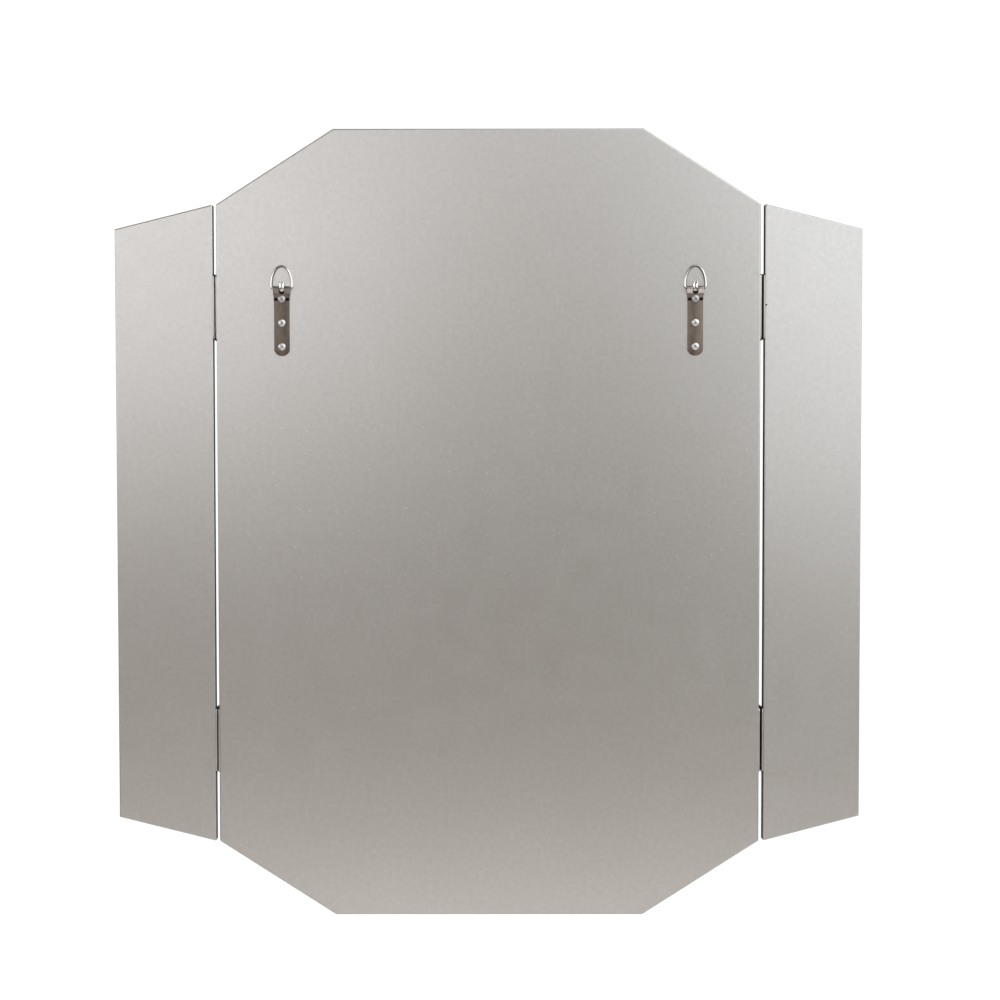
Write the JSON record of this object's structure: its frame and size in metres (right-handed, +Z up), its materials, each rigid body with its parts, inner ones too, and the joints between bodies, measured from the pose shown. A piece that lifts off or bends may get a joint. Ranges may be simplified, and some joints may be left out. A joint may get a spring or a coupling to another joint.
{
  "type": "folding wall mirror",
  "caption": "Frameless tri-fold wall mirror: wide centre panel with cut corners, narrow wings folding forward on butt hinges, strap hangers with D-rings on its silver-painted back.",
  "frame": {"origin": "the point it hangs from: in the plane of the painted back, on the centre line, level with the inside top of the two D-rings", "axes": "+Z up, +Y out of the painted back towards the wall, so the mirror's front faces -Y; +X is to the right of a person facing the mirror"},
  "size_m": [0.865, 0.0288, 0.9144],
  "materials": {
    "silver_paint": "silver metallic lacquer on fibreboard, black lacquered edges",
    "mirror_bond": "grey bonding sheet",
    "mirror_glass": "bevelled silvered glass",
    "hinge_steel": "antique nickel plate, satin",
    "strap_steel": "dark nickel plate, satin",
    "bright_steel": "bright zinc and nickel plate"
  },
  "bodies": {
    "centre": {"centre_board": "silver_paint", "centre_bond": "mirror_bond", "centre_mirror": "mirror_glass", "left_upper_hinge_centre_leaf": "hinge_steel", "left_upper_hinge_centre_screw_1": "hinge_steel", "left_upper_hinge_centre_screw_2": "hinge_steel", "left_upper_hinge_centre_screw_3": "hinge_steel", "left_upper_hinge_pin": "hinge_steel", "left_lower_hinge_centre_leaf": "hinge_steel", "left_lower_hinge_centre_screw_1": "hinge_steel", "left_lower_hinge_centre_screw_2": "hinge_steel", "left_lower_hinge_centre_screw_3": "hinge_steel", "left_lower_hinge_pin": "hinge_steel", "right_upper_hinge_centre_leaf": "hinge_steel", "right_upper_hinge_centre_screw_1": "hinge_steel", "right_upper_hinge_centre_screw_2": "hinge_steel", "right_upper_hinge_centre_screw_3": "hinge_steel", "right_upper_hinge_pin": "hinge_steel", "right_lower_hinge_centre_leaf": "hinge_steel", "right_lower_hinge_centre_screw_1": "hinge_steel", "right_lower_hinge_centre_screw_2": "hinge_steel", "right_lower_hinge_centre_screw_3": "hinge_steel", "right_lower_hinge_pin": "hinge_steel", "left_hanger_strap": "strap_steel", "left_hanger_screw_1": "bright_steel", "left_hanger_screw_2": "bright_steel", "left_hanger_screw_3": "bright_steel", "right_hanger_strap": "strap_steel", "right_hanger_screw_1": "bright_steel", "right_hanger_screw_2": "bright_steel", "right_hanger_screw_3": "bright_steel"},
    "left_wing": {"left_wing_board": "silver_paint", "left_wing_bond": "mirror_bond", "left_wing_mirror": "mirror_glass", "left_upper_hinge_wing_leaf": "hinge_steel", "left_upper_hinge_wing_screw_1": "hinge_steel", "left_upper_hinge_wing_screw_2": "hinge_steel", "left_upper_hinge_wing_screw_3": "hinge_steel", "left_lower_hinge_wing_leaf": "hinge_steel", "left_lower_hinge_wing_screw_1": "hinge_steel", "left_lower_hinge_wing_screw_2": "hinge_steel", "left_lower_hinge_wing_screw_3": "hinge_steel"},
    "right_wing": {"right_wing_board": "silver_paint", "right_wing_bond": "mirror_bond", "right_wing_mirror": "mirror_glass", "right_upper_hinge_wing_leaf": "hinge_steel", "right_upper_hinge_wing_screw_1": "hinge_steel", "right_upper_hinge_wing_screw_2": "hinge_steel", "right_upper_hinge_wing_screw_3": "hinge_steel", "right_lower_hinge_wing_leaf": "hinge_steel", "right_lower_hinge_wing_screw_1": "hinge_steel", "right_lower_hinge_wing_screw_2": "hinge_steel", "right_lower_hinge_wing_screw_3": "hinge_steel"},
    "left_ring": {"left_hanger_ring": "bright_steel"},
    "right_ring": {"right_hanger_ring": "bright_steel"}
  },
  "joints": [
    {"name": "left_wing_fold", "type": "hinge", "parent": "centre", "child": "left_wing", "pos_m": [-0.3168, -0.02, -0.2982], "axis": [0, 0, 1], "range_deg": [-3, 177]},
    {"name": "right_wing_fold", "type": "hinge", "parent": "centre", "child": "right_wing", "pos_m": [0.3168, -0.02, -0.2982], "axis": [0, 0, -1], "range_deg": [0, 180]},
    {"name": "left_ring_swing", "type": "hinge", "parent": "centre", "child": "left_ring", "pos_m": [-0.23915, 0.00285, -0.0246], "axis": [-1, 0, 0], "range_deg": [0, 160]},
    {"name": "right_ring_swing", "type": "hinge", "parent": "centre", "child": "right_ring", "pos_m": [0.23915, 0.00285, -0.0246], "axis": [-1, 0, 0], "range_deg": [0, 160]}
  ]
}
